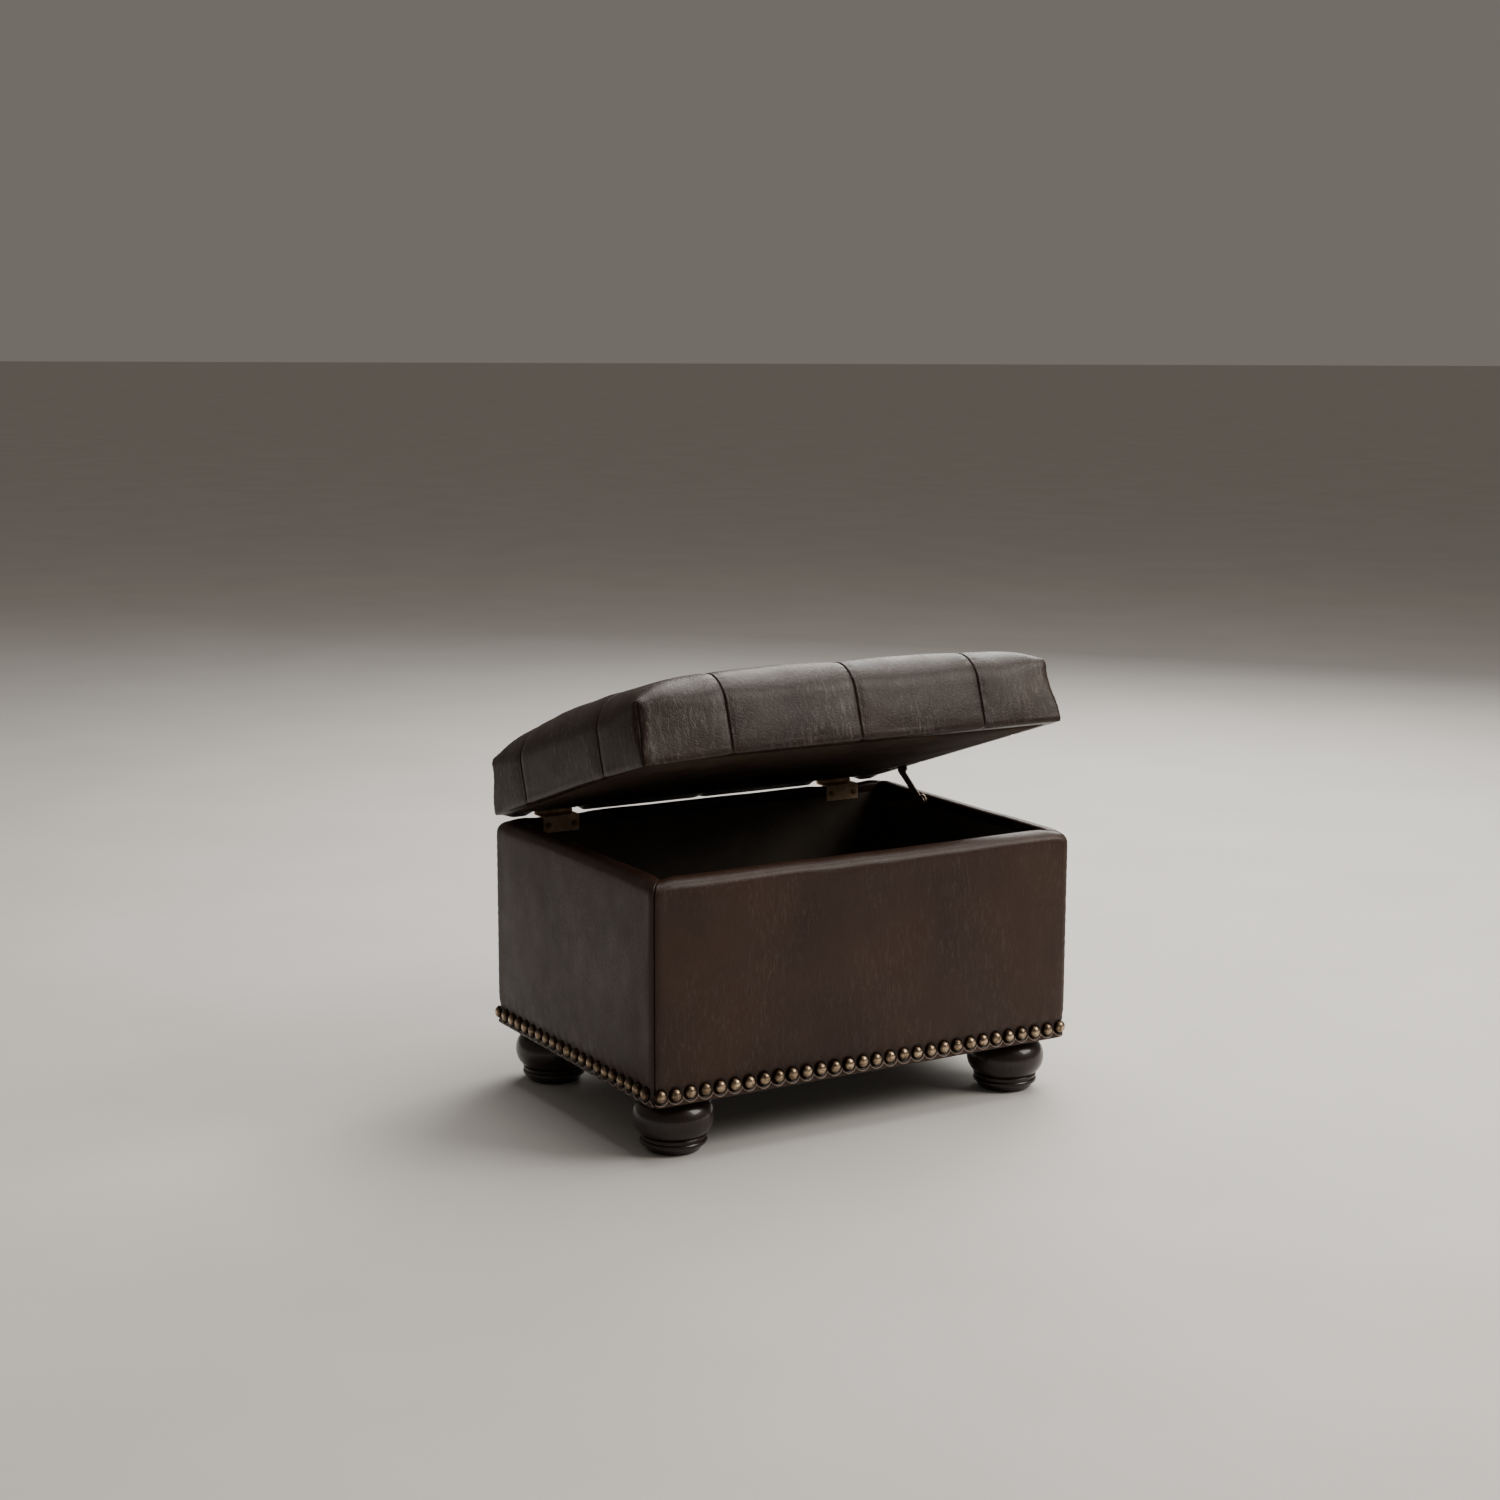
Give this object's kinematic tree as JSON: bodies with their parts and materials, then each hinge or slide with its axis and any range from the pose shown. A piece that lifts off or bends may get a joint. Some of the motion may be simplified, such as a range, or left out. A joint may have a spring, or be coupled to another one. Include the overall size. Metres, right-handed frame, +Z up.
{
  "type": "storage bench",
  "caption": "Padded rectangular storage bench with nailhead trim, turned bun feet and a cushioned lid that hinges at the back over a lined compartment.",
  "frame": {"origin": "on the floor, under the middle of the whole bench's box with the lid ajar as stored", "axes": "+X along the bench, to the right as seen from the front; +Y from the front to the back, where the hinges are; +Z up"},
  "size_m": [0.6276, 0.4708, 0.5784],
  "materials": {
    "leather": "satin",
    "nail_brass": "satin",
    "foot_wood": "satin",
    "board": "matte",
    "softwood": "matte",
    "foam": "matte",
    "lining_cloth": "matte",
    "liner_cloth": "matte",
    "dust_cloth": "matte",
    "hinge_bronze": "satin",
    "screw_bronze": "satin",
    "stay_steel": "satin",
    "zinc_steel": "satin",
    "glide_plastic": "matte"
  },
  "bodies": {
    "base": {"front_board": "board", "front_padding": "foam", "front_cover": "leather", "nails_front": "nail_brass", "back_board": "board", "back_padding": "foam", "back_cover": "leather", "nails_back": "nail_brass", "left_board": "board", "left_padding": "foam", "left_cover": "leather", "nails_left": "nail_brass", "right_board": "board", "right_padding": "foam", "right_cover": "leather", "nails_right": "nail_brass", "floor_board": "board", "foot_blocks": "softwood", "floor_battens": "softwood", "dust_cover": "dust_cloth", "compartment_lining": "lining_cloth", "foot_front_left": "foot_wood", "foot_front_right": "foot_wood", "foot_back_left": "foot_wood", "foot_back_right": "foot_wood", "foot_bolts": "zinc_steel", "foot_t_nuts": "zinc_steel", "foot_glides": "glide_plastic", "hinge_left_body_leaf": "hinge_bronze", "hinge_right_body_leaf": "hinge_bronze", "hinge_left_pin": "hinge_bronze", "hinge_right_pin": "hinge_bronze", "hinge_body_screws": "screw_bronze", "stay_side_bracket": "stay_steel", "stay_side_screws": "screw_bronze", "stay_side_rivet": "stay_steel"},
    "lid": {"lid_board": "board", "lid_foam": "foam", "lid_cover": "leather", "lid_liner": "liner_cloth", "hinge_left_lid_leaf": "hinge_bronze", "hinge_right_lid_leaf": "hinge_bronze", "hinge_lid_screws": "screw_bronze", "stay_lid_bracket": "stay_steel", "stay_lid_screws": "screw_bronze", "stay_lid_rivet": "stay_steel"},
    "stay_lower_link": {"stay_lower_link": "stay_steel", "stay_elbow_rivet": "stay_steel"},
    "stay_upper_link": {"stay_upper_link": "stay_steel"}
  },
  "joints": [
    {"name": "lid_hinge", "type": "hinge", "parent": "base", "child": "lid", "pos_m": [0, 0.2084, 0.353], "axis": [-1, 0, 0], "range_deg": [-18.2, 60]},
    {"name": "stay_side_pivot", "type": "hinge", "parent": "base", "child": "stay_lower_link", "pos_m": [0.282, 0.1588, 0.3179], "axis": [-1, 0, 0], "range_deg": [-18.4, 60.2]},
    {"name": "stay_lid_pivot", "type": "hinge", "parent": "lid", "child": "stay_upper_link", "pos_m": [0.2797, 0.11802, 0.37587], "axis": [-1, 0, 0], "range_deg": [-60.2, 18.4]}
  ],
  "couplings": [
    {"joint": "stay_side_pivot", "follows": "lid_hinge", "ratio": 1},
    {"joint": "stay_lid_pivot", "follows": "lid_hinge", "ratio": -1}
  ]
}
